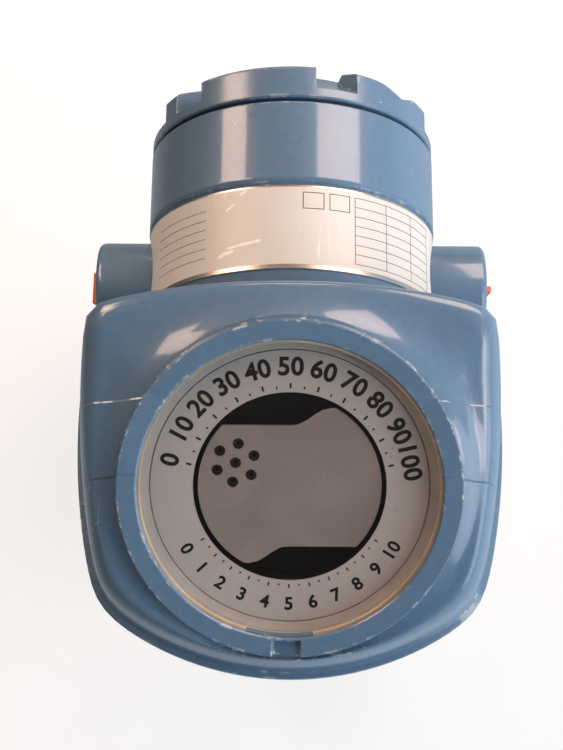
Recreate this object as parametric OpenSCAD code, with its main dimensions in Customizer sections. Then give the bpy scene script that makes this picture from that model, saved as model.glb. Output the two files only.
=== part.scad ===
// Radar level transmitter head: a two-compartment cast housing on a captive coupling nut.
// +Z is up, -Y is the front, and the origin is the centre of the nut's mouth.

/* [Housing] */
// Height of the terminal barrel's axis above the nut's mouth
axis_h = 104; // [100:1:120]
// Radius of the terminal barrel
barrel_r = 47; // [46:0.5:49]
// Place of the barrel's rear face, behind the neck's axis
barrel_end = 88.5; // [86:0.5:96]
// Depth of the step in which the name plate band lies
band_step = 0.8; // [0.5:0.1:1.2]
// Wall of the terminal compartment
chamber_wall = 8.5; // [8:0.5:9.5]
// Place of the terminal compartment's floor
chamber_floor = 26; // [25:0.5:28]

/* [Hood] */
// Half width of the hood at its widest
hood_half_w = 68.5; // [67:0.5:71]
// Reach of the hood's nose in front of the neck's axis
hood_nose = 81; // [80:0.5:84]
// Reach of the hood's rear wall behind the neck's axis
hood_back = 34.5; // [33.5:0.5:35.5]
// Radius of the nose in plan
nose_r = 93; // [88:1:100]
// Radius of the flanks in plan
flank_r = 217; // [190:1:260]
// Radius of the rear wall in plan
back_r = 300; // [260:5:400]
// Step of the lip that runs round the hood
lip_step = 1.9; // [1.2:0.1:2.5]
// Height of the lip
lip_h = 5; // [4:0.5:7]
// Draft of the hood's walls, in degrees
hood_draft = 6; // [4:0.5:7]
// Height of the roof over the barrel's axis at the nose
roof_front = 11.5; // [10:0.5:13]
// Slope of the roof from the nose to the rear
roof_slope = 0.4; // [0.36:0.01:0.42]

/* [Window] */
// Lean of the window from level, in degrees
window_lean = 27.6; // [26:0.2:29]
// Place of the window's centre in front of the neck's axis
window_front = 32.1; // [31:0.5:34]
// Height of the window's centre over the barrel's axis
window_up = 36.8; // [36:0.2:38]
// Outer radius of the bezel
bezel_r = 50.2; // [49.5:0.1:51]
// Radius of the bezel's opening
opening_r = 44.3; // [43.5:0.1:45]
// Radius of the clear window inside the dial ring
sight_r = 28.3; // [27:0.1:30]
// Thickness of the glass
glass_t = 4; // [3.5:0.5:6]
// Depth of the glass below the bezel's face
glass_depth = 2.6; // [2.5:0.1:4]
// Depth of the electronics compartment below the bezel's face
pocket_depth = 30; // [29:0.5:31]

/* [Cover] */
// Height of the cover's rim in the notches between its lugs
cover_rim = 3.4; // [3:0.2:5]
// Height of a lug's outer edge over the cover's seat
lug_h = 11; // [10:0.2:12]
// Radius of the cover's flat crown
crown_r = 34.2; // [32:0.2:36]
// Height of the crown over the cover's seat
crown_h = 14; // [13:0.5:16]
// Angle of a plain lug, in degrees
lug_plain = 46.9; // [40:0.1:48]
// Angle of a lug with a groove across its top, in degrees
lug_grooved = 42.2; // [40:0.1:44]
// Angle of a small lug, in degrees
lug_small = 8.7; // [7:0.1:12]
// Angle of the notch beside the grooved lug, in degrees
notch_wide = 16.4; // [14:0.1:20]
// Angle of the notch beside the small lug, in degrees
notch_narrow = 14.5; // [12:0.1:16]
// Turn of the cover when it is tight, in degrees
cover_turn = 8.9; // [0:0.1:60]
// Wall of the barrel outside the cover's thread
thread_wall = 5.7; // [5.4:0.1:6]
// Length of the cover's threaded skirt
skirt_l = 13; // [10:0.5:14]
// Gap that the sealing ring keeps between cover and barrel
seal_gap = 1.3; // [1:0.1:1.6]

/* [Conduit entries] */
// Half of the span over the two conduit faces
conduit_half = 62.6; // [61:0.2:66]
// Place of the conduit axis behind the neck's axis
conduit_back = 44; // [44:0.5:46]
// Outer radius of a conduit boss
conduit_r = 14.9; // [14:0.1:15.2]
// Radius of the conduit thread
conduit_bore_r = 10.2; // [9.8:0.1:10.6]
// Depth of a plug in its entry
plug_l = 14; // [10:0.5:16]

/* [Neck] */
// Radius of the neck where it passes the nut
neck_r = 22; // [21:0.5:23]
// Radius of the neck at its root
neck_root_r = 31; // [29:0.5:33]
// Height of the neck's seat above the nut's mouth
seat_h = 12; // [10:0.5:14]
// Radius of the signal bore
signal_r = 11; // [10:0.5:12]
// Radius of the nut's thread
nut_thread_r = 26; // [25.8:0.1:27]
// Width of the nut across its flats
nut_flats = 62; // [61:1:66]
// Height of the nut
nut_h = 24; // [23:0.5:27]

/* [Hidden] */

$fn = 96;
fit = 0.1;              // radial clearance of a plug, skirt or spigot
gap = 0.3;              // clearance between pieces that move past each other
overlap = 1;            // how far a cutter runs past the face it opens
paint = [0.36, 0.50, 0.62];
steel = [0.72, 0.72, 0.70];
black = [0.08, 0.08, 0.08];

// Hood outline
sides = 96;             // points round the hood
corner = 30;            // sharpness of the hood's plan corners
plan_y = -25;           // centre from which the plan is drawn
lip_top = -5;           // top of the lip, from the barrel's axis
belly = [[-51, 30], [-48, 19], [-40, 11], [lip_top - lip_h - 3, 4.5], [lip_top - lip_h, 1.5]];
wall_edge = 3.5;        // rounding of the roof's edge at the nose and the rear
wall_round = 15;        // what the rounding gains on the flanks
round_steps = 6;        // points in the rounding
bezel_h = 2.8;          // height of the bezel above the roof
flare = 1.2;            // reach of the roof's flare outside the bezel
fillet_w = 9;           // width of the hollow fillet between roof and bezel
fillet_h = 3;           // depth of the fillet's control point under the roof
fillet_steps = 4;       // points in the fillet
bezel_root = 8.8;       // how far the bezel reaches down into the hood

// Barrel and compartment
chamber_r = barrel_r - chamber_wall;
cover_thread_r = barrel_r - thread_wall;
barrel_start = 12;
barrel_edge = 0.6;      // bevel of the barrel's rear edge
band_from = hood_back - 1.3;
band_l = 26.9;
band_t = 0.5;
band_sweep = 160;
band_lie = 0.05;        // clearance under the name plate band
seal_r = 1.25;
seal_seat_r = cover_thread_r + 2 * seal_r + 0.6;
seal_seat_d = 1.6;
thread_d = skirt_l + 1.5;
port_in = 3;            // how far an entry's bore runs into the compartment

// Lock screw under the cover's rim
lock_r = 1.5;
lock_at = barrel_r - 1;
lock_boss_r = 4;
lock_boss_l = 16.5;
lock_head_r = 2.75;
lock_head_h = 3;
lock_groove_l = 9.5;    // tool groove in front of the lock screw
lock_hex_r = 1.45;

// Neck
neck_foot = nut_h + gap;
nut_thread_l = seat_h - 0.5;
nut_bevel = 2.6;
nut_roof = 5;           // thickness of the nut over its retaining ring
neck_blend = 14;
neck_top = axis_h - barrel_r + 1;
retainer_r = nut_thread_r - gap;
retainer_t = 2.5;
retainer_up = 1.2;
retainer_in = 1.5;      // how far the retaining ring sits in the neck
retainer_play = 0.05;
ring_seal_r = neck_r - 4.5;
ring_seal_w = 3;        // width of the groove for the neck's sealing ring
ring_seal_d = 2;
ring_wire_r = 1.05;

// Cover
cover_start = barrel_end + seal_gap;
cover_r = barrel_r - 0.1;
cover_wall = 5;
skirt_t = 5;
lug_slope = 0.46;       // rise of a lug's top towards the crown, per radial millimetre
lug_edge = 1.2;         // bevel of a lug's outer edge
lug_in = 2.3;           // how far a lug's top ends outside the crown
shoulder_h = 11;        // height of the shoulder's inner edge over the cover's seat
crown_edge = 0.5;       // how far a notch runs into the crown
notch_side = 180 - lug_small - notch_narrow - lug_plain - notch_wide - lug_grooved;
groove_at = 24.3;       // place of the groove along its lug
groove_d = 3.4;         // depth of the groove in the third kind of lug
groove_up = 16;         // width of the groove's gentle side
groove_down = 8.2;      // width of the groove's steep side

// Window stack, as depths below the bezel's face
ring_t = 1.3;
ring_w = 1.6;
ring_groove = 1;
ring_depth = glass_depth - ring_t - 0.1;
ring_gap = 26;
ring_turn = -3.5;
glass_clear = 0.4;
gasket_t = 1;
ledge_w = 3.5;
dial_depth = glass_depth + glass_t + 0.2;
dial_t = 0.5;
bowl_depth = dial_depth + dial_t + 0.1;
bowl_h = 9;
bowl_floor = 2;
plate_t = 0.8;
plate_r = sight_r - 1.4;
plate_down = 0.6;
plate_depth = bowl_depth + plate_down;
plate_edge = 18.2;
plate_rise = 5.2;
plate_s_from = 0.7;
plate_s_l = 11;
plate_leg_x = plate_r - 6;
plate_leg_y = 12;
plate_leg_r = 2.2;
pin_hole_r = 1.65;
pin_pitch = 5.8;
pin_r = 0.8;
pin_depth = 2.6;
socket_h = 4.6;
socket_rim = 2.4;
pin_at = [-15.9, 6.9];
pocket_r = opening_r - ledge_w;
well_r = 29;
well_d = 12;
board_t = 1.6;
board_depth = bowl_depth + bowl_h + 4.5;
board_r = pocket_r - 1.5;
pillar_at = board_r - 5;
notch_w = 8.3;
notch_d = 1.1;
notch_turn = 8;

// Terminals
block_wall = 7.5;       // room between the terminal block and the compartment
block_r = chamber_r - block_wall;
block_t = 9;
block_rise = 4;
block_bar = 18;         // height of the raised bar that carries the clamps
block_hole_in = 5;
block_hole_at = block_r - block_hole_in;
block_hole_r = 1.8;
block_sink_r = 4;
block_head_r = 2.9;
block_head_h = 1.8;
block_shank_r = 1.5;
block_grip = 5;         // how far a block screw enters the housing
block_tap_r = 1.6;
block_tap_l = 6;
term_pitch = 15 / 26 * block_hole_at;
term_well = [10, 12];   // width and height of the well round a clamp
term_hole_r = 1.9;
term_floor = 2;
clamp_w = 8.4;
clamp_t = 1.2;
clamp_gap = 0.1;
term_head_r = 3.4;
term_head_h = 2.2;
term_shank_r = 1.7;
term_shank_l = 8;
feed_up = 22;
feed_r = 5;
feed_from = 7;

// Ground screws
ground_turn = 140;
ground_back = 69;
ground_boss_r = 7;
ground_boss_h = 2.5;
ground_head_r = 4.4;
ground_head_h = 2.8;
ground_shank_r = 2.5;
ground_shank_l = 8;
ground_tap_r = 2.6;
ground_tap_l = 7.5;
ground_pad = 10;        // side of the clamp under the outer ground screw
ground_pad_t = 1.5;
inner_up = 8;           // place of the inner ground screw over the compartment's floor
inner_back = chamber_floor + inner_up;
inner_head_r = 3.6;
inner_head_h = 2.4;
inner_shank_r = 2;
inner_shank_l = 3;
inner_tap_r = 2.1;
inner_tap_l = 3.5;

// Conduit plugs
plug_edge = 0.7;
plug_head_r = 6.6;
plug_head_h = 1;
rib_l = 12;
rib_t = 2;
rib_h = 2.4;

// Board, radar module and signal line
slot_w = 0.8;           // width and depth of a screw's slot
board_head_r = 2.6;
board_head_h = 1.8;
board_shank_r = 1.2;
board_tap_r = 1.3;
board_tap_l = 5;
board_grip = 4;
board_hole_r = 1.6;
pillar_r = 3;
pillar_turn = 30;
module_w = 44;
module_l = 34;
module_h = 11;
module_side = 22;
module_front = 16;
line_r = 1.8;
line_up = 18;           // start of the signal line over the neck's seat
line_end = 3;
jack_up = 4;
jack_l = 14;
jack_bore_r = 5;
jack_bore_l = 7;
jack_pin_r = 1.2;
jack_pin_l = 10;

module on_barrel(y) translate([0, y, axis_h]) rotate([-90, 0, 0]) children();
module rotate_on_barrel(turn, y) translate([0, y, axis_h]) rotate([0, turn, 0]) children();
module on_lock(y) translate([0, 0, -lock_at]) on_barrel(y) children();
module on_pillars(depth) for (i = [0 : 2]) on_window(depth) rotate(120 * i + pillar_turn)
    translate([pillar_at, 0, 0]) children();
module on_block_screws(y) for (x = [-1, 1]) translate([x * block_hole_at, 0, 0]) on_barrel(y) children();
module on_terminals() for (i = [-1 : 1]) translate([i * term_pitch, 0, 0]) children();
module on_window(depth) translate([0, -window_front, axis_h + window_up]) rotate([window_lean, 0, 0])
    translate([0, 0, -depth]) children();
module on_conduit(side) translate([side * conduit_half, conduit_back, axis_h]) rotate([0, side * 90, 0])
    children();
module tube(r_out, r_in, h) rotate_extrude() translate([r_in, 0]) square([r_out - r_in, h]);
module wire_ring(r, section) rotate_extrude() translate([r, 0]) circle(section, $fn = 32);

// Distance from the plan's centre to an arc of centre c and radius r, along direction a
function reach(a, c, r) = let (d = [cos(a), sin(a)], v = [0, plan_y] - c, b = v * d)
    sqrt(b * b - v * v + r * r) - b;
// The plan is bounded by four arcs whose meetings are rounded by a power mean
function plan_arcs(a, inset) = [
    reach(a, [0, nose_r - hood_nose], nose_r - inset),
    reach(a, [hood_half_w - flank_r, 0], flank_r - inset),
    reach(a, [flank_r - hood_half_w, 0], flank_r - inset),
    reach(a, [0, hood_back - back_r], back_r - inset)];
function plan_reach(a, inset) = let (s = plan_arcs(a, inset))
    pow(pow(s[0], -corner) + pow(s[1], -corner) + pow(s[2], -corner) + pow(s[3], -corner), -1 / corner);
function plan_point(a, inset, z) = let (s = plan_reach(a, inset))
    [s * cos(a), plan_y + s * sin(a), axis_h + z];
function roof_z(y) = roof_front + roof_slope * (y + hood_nose);
function window_point(a, r, depth) = [
    r * cos(a),
    r * sin(a) * cos(window_lean) + depth * sin(window_lean) - window_front,
    r * sin(a) * sin(window_lean) - depth * cos(window_lean) + window_up + axis_h];
function wall_base(a) = plan_point(a, lip_step, lip_top);
function wall_corner(a) = let (z = roof_z(wall_base(a)[1]))
    plan_point(a, lip_step + (z - lip_top) * tan(hood_draft), z);
function toward(p, q, l) = p + (q - p) * min(l / norm(q - p), 0.7);
function bend(p, c, q, t) = (1 - t) * (1 - t) * p + 2 * t * (1 - t) * c + t * t * q;
function rounding(a) = wall_edge + wall_round * pow(abs(cos(a)), 5);
function bezel_foot(a) = window_point(a, bezel_r + flare, bezel_h);
function hollow(a) = let (c = wall_corner(a), f = bezel_foot(a), w = min(fillet_w, 0.35 * norm(c - f)))
    toward(f, c, w) - [0, 0, fillet_h * w / fillet_w];
function roof_bend(a, t) = let (c = wall_corner(a), w = rounding(a))
    bend(toward(c, wall_base(a), w), c, toward(c, hollow(a), w), t);
function ring_of(k) = [for (i = [0 : sides - 1]) let (a = 360 * (i + 0.5) / sides)
    k < len(belly) ? plan_point(a, belly[k][1], belly[k][0])
    : k == len(belly) ? plan_point(a, 0, lip_top - lip_h + 1)
    : k == len(belly) + 1 ? plan_point(a, 0, lip_top - 0.8)
    : k == len(belly) + 2 ? wall_base(a)
    : k <= len(belly) + 3 + round_steps ? roof_bend(a, (k - len(belly) - 3) / round_steps)
    : k <= len(belly) + 3 + round_steps + fillet_steps
        ? bend(roof_bend(a, 1), hollow(a), bezel_foot(a), (k - len(belly) - 3 - round_steps) / fillet_steps)
    : window_point(a, bezel_r - ledge_w, bezel_h - flare)];

module hood() {
    rings = len(belly) + 5 + round_steps + fillet_steps;
    points = [for (k = [0 : rings - 1]) each ring_of(k)];
    skin = [for (k = [0 : rings - 2], i = [0 : sides - 1]) let (j = (i + 1) % sides)
        each [[k * sides + i, (k + 1) * sides + j, k * sides + j],
            [k * sides + i, (k + 1) * sides + i, (k + 1) * sides + j]]];
    foot = [for (i = [0 : sides - 1]) i];
    crown = [for (i = [0 : sides - 1]) rings * sides - 1 - i];
    polyhedron(points, concat([foot], skin, [crown]));
}

module neck() {
    rotate_extrude() polygon([[0, seat_h], [neck_r, seat_h], [neck_r, neck_foot],
        for (i = [0 : 6]) [neck_root_r - (neck_root_r - neck_r) * cos(15 * i),
            neck_foot + neck_blend * sin(15 * i)],
        [neck_root_r, neck_top], [0, neck_top]]);
}

module barrel() {
    on_barrel(0) rotate_extrude() polygon([[0, barrel_start], [barrel_r - band_step, barrel_start],
        [barrel_r - band_step, band_from + band_l + gap], [barrel_r, band_from + band_l + 1.2],
        [barrel_r, barrel_end - barrel_edge], [barrel_r - barrel_edge, barrel_end], [0, barrel_end]]);
    on_lock(barrel_end - lock_boss_l) cylinder(r = lock_boss_r, h = lock_boss_l);
    rotate_on_barrel(ground_turn, ground_back) cylinder(r = ground_boss_r, h = barrel_r + ground_boss_h);
}

module conduit_boss(side) {
    on_conduit(side) translate([0, 0, -conduit_half / 2]) rotate_extrude()
        polygon([[0, 0], [conduit_r, 0], [conduit_r, conduit_half / 2 - 2],
            for (i = [0 : 4]) [conduit_r - 2 + 2 * cos(22.5 * i), conduit_half / 2 - 2 + 2 * sin(22.5 * i)],
            [0, conduit_half / 2]]);
}

module housing() {
    color(paint) difference() {
        union() {
            hood();
            on_window(bezel_root) cylinder(r = bezel_r, h = bezel_root);
            neck();
            barrel();
            conduit_boss(-1);
            conduit_boss(1);
        }
        chamber();
        pocket();
        bezel_notch();
        for (side = [-1, 1]) on_conduit(side) translate([0, 0, -conduit_half + chamber_r - port_in])
            cylinder(r = conduit_bore_r, h = conduit_half);
        translate([0, 0, seat_h - overlap]) {
            cylinder(r = signal_r, h = axis_h - seat_h);
            tube(ring_seal_r + ring_seal_w / 2, ring_seal_r - ring_seal_w / 2, overlap + ring_seal_d);
        }
        translate([0, 0, seat_h + retainer_up]) tube(neck_r + overlap, neck_r - retainer_in, retainer_t);
        on_lock(barrel_end - lock_boss_l - overlap) cylinder(r = lock_r + fit, h = lock_boss_l + 2 * overlap);
        on_lock(barrel_end - lock_boss_l - lock_groove_l) cylinder(r = lock_head_r + 0.5, h = lock_groove_l);
        rotate_on_barrel(ground_turn, ground_back) translate([0, 0, barrel_r + ground_boss_h - ground_tap_l])
            cylinder(r = ground_tap_r, h = ground_tap_l + overlap);
        rotate_on_barrel(-ground_turn, inner_back) translate([0, 0, chamber_r - overlap])
            cylinder(r = inner_tap_r, h = inner_tap_l + overlap);
        on_block_screws(chamber_floor - block_tap_l) cylinder(r = block_tap_r, h = block_tap_l + overlap);
        translate([0, 0, feed_up]) on_barrel(0) cylinder(r = feed_r, h = chamber_floor + overlap);
        on_pillars(pocket_depth + board_tap_l) cylinder(r = board_tap_r, h = board_tap_l + overlap);
    }
}

// The terminal compartment, its female thread and the sealing ring's seat
module chamber() {
    on_barrel(0) rotate_extrude() polygon([[0, chamber_floor], [chamber_r, chamber_floor],
        [chamber_r, barrel_end - thread_d], [cover_thread_r + fit, barrel_end - thread_d],
        [cover_thread_r + fit, barrel_end - seal_seat_d], [seal_seat_r, barrel_end - seal_seat_d],
        [seal_seat_r, barrel_end + overlap], [0, barrel_end + overlap]]);
}

// The electronics compartment, from the window's opening down to its well
module pocket() {
    on_window(0) rotate_extrude() polygon([[0, overlap], [opening_r + overlap + 0.4, overlap],
        [opening_r, -0.4], [opening_r, -ring_depth], [opening_r + ring_groove, -ring_depth],
        [opening_r + ring_groove, -ring_depth - ring_t], [opening_r, -ring_depth - ring_t],
        [opening_r, -glass_depth - glass_t - gasket_t], [pocket_r, -glass_depth - glass_t - gasket_t],
        [pocket_r, -pocket_depth], [well_r, -pocket_depth], [well_r, -pocket_depth - well_d],
        [0, -pocket_depth - well_d]]);
}

module bezel_notch() {
    on_window(0) translate([notch_w / 2 - 0.6, -bezel_r - overlap, 0]) rotate([0, -notch_turn, 0])
        translate([-notch_w, 0, -notch_d]) cube([notch_w, bezel_r - opening_r + overlap - 0.6, 4 * notch_d]);
}

// The cover's profile through a lug, from the seat to the crown
module terminal_cover() {
    lug_top_r = crown_r + lug_in;
    color(paint) difference() {
        on_barrel(cover_start) rotate_extrude() polygon([[0, crown_h - cover_wall],
            [crown_r - cover_wall, crown_h - cover_wall], [cover_thread_r - skirt_t, cover_rim],
            [cover_thread_r - skirt_t, -skirt_l], [cover_thread_r, -skirt_l], [cover_thread_r, 0],
            [cover_r - 0.5, 0], [cover_r, 0.5], [cover_r, lug_h - lug_edge],
            [cover_r - lug_edge, lug_h], [lug_top_r, lug_h + lug_slope * (cover_r - lug_edge - lug_top_r)],
            [crown_r, crown_h], [0, crown_h]]);
        for (turn = [0, 180]) on_barrel(cover_start) rotate(turn + cover_turn - 90) {
            lug_notch(notch_wide);
            rotate(-lug_plain - notch_narrow) lug_notch(notch_narrow);
            rotate(notch_wide + lug_grooved) lug_notch(notch_side);
            rotate(notch_wide + groove_at) lug_groove();
        }
    }
}

// A notch goes down to the shoulder that joins the rim to the crown
module lug_notch(sweep) {
    rotate_extrude(angle = sweep) polygon([[cover_r + overlap, cover_rim - 0.8],
        [cover_r - overlap, cover_rim + 0.8], [crown_r + lug_in, shoulder_h],
        [crown_r - crown_edge, crown_h], [crown_r - crown_edge, crown_h + 4],
        [cover_r + overlap, crown_h + 4]]);
}

// A shallow groove runs down the sloping top of a lug, gentle on one side and steep on the other
module lug_groove() {
    translate([cover_r, 0, lug_h]) rotate([0, atan(lug_slope), 0]) translate([-cover_r + crown_r, 0, 0])
        rotate([90, 0, 90]) linear_extrude(cover_r)
        polygon([[-groove_up, 0], [0, -groove_d], [groove_down, 0], [groove_down, 6], [-groove_up, 6]]);
}

module cover_o_ring() {
    color(black) on_barrel(cover_start - seal_r - 0.1) wire_ring(cover_thread_r + seal_r + 0.2, seal_r);
}

module cover_lock_screw() {
    color(steel) on_lock(barrel_end - lock_boss_l - lock_head_h) difference() {
        union() {
            cylinder(r = lock_head_r, h = lock_head_h);
            cylinder(r = lock_r, h = lock_head_h + lock_boss_l + seal_gap - gap);
        }
        translate([0, 0, -overlap]) cylinder(r = lock_hex_r, h = lock_head_h, $fn = 6);
    }
}

module name_plate_band() {
    color([0.85, 0.84, 0.80]) difference() {
        on_barrel(band_from) rotate(-90 - band_sweep / 2) rotate_extrude(angle = band_sweep)
            translate([barrel_r - band_step + band_lie, 0]) square([band_t, band_l]);
        for (side = [-1, 1]) on_conduit(side) translate([0, 0, -conduit_half / 2])
            cylinder(r = conduit_r + gap, h = conduit_half);
    }
}

module snap_ring() {
    color([0.80, 0.62, 0.42]) on_window(ring_depth + ring_t - 0.05) rotate(ring_turn - 90 + ring_gap / 2)
        rotate_extrude(angle = 360 - ring_gap) translate([opening_r + ring_groove - 0.2 - ring_w, 0])
        square([ring_w, ring_t - 0.1]);
}

module window_glass() {
    color([0.80, 0.85, 0.85, 0.35]) on_window(glass_depth + glass_t) rotate_extrude()
        polygon([[0, 0], [opening_r - glass_clear, 0], [opening_r - glass_clear, glass_t - 0.8],
            [opening_r - glass_clear - 0.8, glass_t], [0, glass_t]]);
}

module glass_gasket() {
    color(black) on_window(glass_depth + glass_t + gasket_t)
        tube(opening_r - glass_clear, pocket_r + 0.2, gasket_t);
}

module dial_ring() {
    color([0.62, 0.60, 0.58]) on_window(dial_depth + dial_t) tube(pocket_r - 0.1, sight_r, dial_t);
}

module window_bowl() {
    color(black) on_window(bowl_depth + bowl_h) rotate_extrude() polygon([[0, 0], [pocket_r - 0.6, 0],
        [pocket_r - 0.6, bowl_h], [sight_r, bowl_h], [sight_r, bowl_floor], [0, bowl_floor]]);
}

// Height of the plate's upper edge over its centre: level, then rising through an S
function plate_top(x) = let (t = max(0, min(1, (x - plate_s_from) / plate_s_l)))
    plate_edge + plate_rise * (1 - cos(180 * t)) / 2;
module contact_plate() {
    xs = [for (i = [0 : 24]) -sight_r + 2 * sight_r * i / 24];
    color(steel) on_window(plate_depth + plate_t) difference() {
        intersection() {
            cylinder(r = plate_r, h = plate_t);
            linear_extrude(plate_t) polygon(concat([for (x = xs) [x, plate_top(x)]],
                [for (x = xs) [-x, -plate_top(x)]]));
        }
        for (p = pin_places()) translate([p[0], p[1], -overlap])
            cylinder(r = pin_hole_r, h = plate_t + 2 * overlap);
    }
    color(steel) for (x = [-1, 1]) on_window(bowl_depth + bowl_h - bowl_floor)
        translate([x * plate_leg_x, x * plate_leg_y, 0])
        cylinder(r = plate_leg_r, h = bowl_h - bowl_floor - plate_down - plate_t);
}
function pin_places() = concat([pin_at], [for (i = [0 : 5])
    pin_at + pin_pitch * [cos(60 * i + 22), sin(60 * i + 22)]]);

module pin_socket() {
    color([0.16, 0.11, 0.09]) on_window(bowl_depth + bowl_h - bowl_floor) difference() {
        translate([pin_at[0], pin_at[1], 0]) cylinder(r = pin_pitch + socket_rim, h = socket_h);
        for (p = pin_places()) translate([p[0], p[1], socket_h - pin_depth])
            cylinder(r = pin_r, h = pin_depth + overlap);
    }
}

module circuit_board() {
    color([0.12, 0.32, 0.18]) on_window(board_depth + board_t) difference() {
        cylinder(r = board_r, h = board_t);
        for (i = [0 : 2]) rotate(120 * i + pillar_turn) translate([pillar_at, 0, -overlap])
            cylinder(r = board_hole_r, h = board_t + 2 * overlap);
    }
}

module board_pillars() {
    color(steel) on_pillars(pocket_depth) difference() {
        cylinder(r = pillar_r, h = pocket_depth - board_depth - board_t);
        translate([0, 0, -overlap]) cylinder(r = board_tap_r, h = pocket_depth);
    }
}

module board_screws() {
    color(steel) on_pillars(board_depth)
        pan_screw(board_head_r, board_head_h, board_shank_r, pocket_depth - board_depth + board_grip);
}

// A pan-head screw whose head rests on z = 0 and whose shank goes down
module pan_screw(head_r, head_h, shank_r, shank_l) difference() {
    union() {
        cylinder(r = head_r, h = head_h);
        translate([0, 0, -shank_l]) cylinder(r = shank_r, h = shank_l);
    }
    translate([-head_r - overlap, -slot_w / 2, head_h - slot_w])
        cube([2 * (head_r + overlap), slot_w, head_h]);
}

module radar_module() {
    color([0.75, 0.75, 0.73]) on_window(board_depth + board_t + module_h)
        translate([-module_side, -module_front, 0]) cube([module_w, module_l, module_h]);
}

module coax_line() {
    color([0.78, 0.66, 0.40]) translate([0, 0, seat_h + line_up])
        cylinder(r = line_r, h = axis_h - seat_h - line_up - line_end);
}

module coax_connector() {
    color([0.80, 0.66, 0.35]) translate([0, 0, seat_h + jack_up]) {
        difference() {
            cylinder(r = signal_r - fit, h = jack_l);
            translate([0, 0, -overlap]) cylinder(r = jack_bore_r, h = jack_bore_l + overlap);
        }
        cylinder(r = jack_pin_r, h = jack_pin_l);
    }
}

module feedthrough() {
    color([0.30, 0.24, 0.20]) translate([0, 0, feed_up]) on_barrel(feed_from)
        cylinder(r = feed_r - fit, h = chamber_floor - feed_from);
}

module terminal_block() {
    color([0.14, 0.14, 0.15]) difference() {
        union() {
            on_barrel(chamber_floor) cylinder(r = block_r, h = block_t);
            translate([-1.8 * term_pitch, chamber_floor, axis_h - block_bar / 2])
                cube([3.6 * term_pitch, block_t + block_rise, block_bar]);
        }
        on_terminals() {
            translate([-term_well[0] / 2, chamber_floor + block_t, axis_h - term_well[1] / 2])
                cube([term_well[0], block_rise + overlap, term_well[1]]);
            on_barrel(chamber_floor + term_floor) cylinder(r = term_hole_r, h = block_t);
        }
        on_block_screws(chamber_floor - overlap) {
            cylinder(r = block_hole_r, h = 3 * block_t);
            translate([0, 0, block_t]) cylinder(r = block_sink_r, h = 2 * block_t);
        }
    }
}

module terminal_clamps() {
    color([0.78, 0.72, 0.50]) on_terminals() on_barrel(chamber_floor + block_t + clamp_gap) difference() {
        translate([-clamp_w / 2, -clamp_w / 2, 0]) cube([clamp_w, clamp_w, clamp_t]);
        translate([0, 0, -overlap]) cylinder(r = term_hole_r, h = clamp_t + 2 * overlap);
    }
}

module terminal_screws() {
    color(steel) on_terminals() on_barrel(chamber_floor + block_t + 2 * clamp_gap + clamp_t)
        pan_screw(term_head_r, term_head_h, term_shank_r, term_shank_l);
}

module block_screws() {
    color(steel) on_block_screws(chamber_floor + block_t)
        pan_screw(block_head_r, block_head_h, block_shank_r, block_t + block_grip);
}

module inner_ground_screw() {
    color(steel) rotate_on_barrel(-ground_turn, inner_back) translate([0, 0, chamber_r - 0.4])
        mirror([0, 0, 1]) pan_screw(inner_head_r, inner_head_h, inner_shank_r, inner_shank_l);
}

module outer_ground_screw() {
    color(steel) rotate_on_barrel(ground_turn, ground_back)
        translate([0, 0, barrel_r + ground_boss_h + 2 * clamp_gap + ground_pad_t])
        pan_screw(ground_head_r, ground_head_h, ground_shank_r, ground_shank_l);
}

module outer_ground_clamp() {
    color(steel) rotate_on_barrel(ground_turn, ground_back)
        translate([0, 0, barrel_r + ground_boss_h + clamp_gap]) difference() {
            translate([-ground_pad / 2, -ground_pad / 2, 0]) cube([ground_pad, ground_pad, ground_pad_t]);
            translate([0, 0, -overlap]) cylinder(r = ground_tap_r + fit, h = ground_pad_t + 2 * overlap);
        }
}

// A moulded plug with a domed head and a pull rib
module conduit_plug(side, rib_turn) {
    r = conduit_bore_r - fit;
    color([0.88, 0.36, 0.10]) on_conduit(side) {
        rotate_extrude() polygon([[0, -plug_l], [r - plug_edge, -plug_l], [r, -plug_l + plug_edge],
            [r, -plug_edge], [r - plug_edge, 0], [plug_head_r + plug_edge, 0.1],
            [plug_head_r, plug_head_h - 0.2], [0, plug_head_h]]);
        rotate(rib_turn) translate([0, rib_t / 2, 0]) rotate([90, 0, 0]) linear_extrude(rib_t)
            polygon([[-rib_l / 2, 0], [rib_l / 2, 0], [rib_l / 2 - 1, rib_h], [1 - rib_l / 2, rib_h]]);
    }
}
module conduit_plug_left() conduit_plug(-1, 90);
module conduit_plug_right() conduit_plug(1, 12);

module coupling_nut() {
    nut_r = nut_flats / 2 / cos(30);
    color(steel) difference() {
        intersection() {
            cylinder(r = nut_r, h = nut_h, $fn = 6);
            rotate_extrude() polygon([[0, 0], [nut_flats / 2, 0], [nut_r + 0.1, nut_bevel],
                [nut_r + 0.1, nut_h - nut_bevel], [nut_flats / 2, nut_h], [0, nut_h]]);
        }
        translate([0, 0, -overlap]) cylinder(r = nut_thread_r, h = nut_thread_l + 2 * overlap);
        translate([0, 0, nut_thread_l]) cylinder(r = nut_thread_r + 0.6, h = nut_h - nut_roof - nut_thread_l);
        translate([0, 0, -overlap]) cylinder(r = neck_r + gap, h = nut_h + 2 * overlap);
    }
}

module nut_retaining_ring() {
    color(steel) translate([0, 0, seat_h + retainer_up + retainer_play])
        tube(retainer_r, neck_r - retainer_in + retainer_play, retainer_t - 2 * retainer_play);
}

module neck_o_ring() {
    color(black) translate([0, 0, seat_h + ring_seal_d / 2 - 0.1]) wire_ring(ring_seal_r, ring_wire_r);
}

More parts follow.
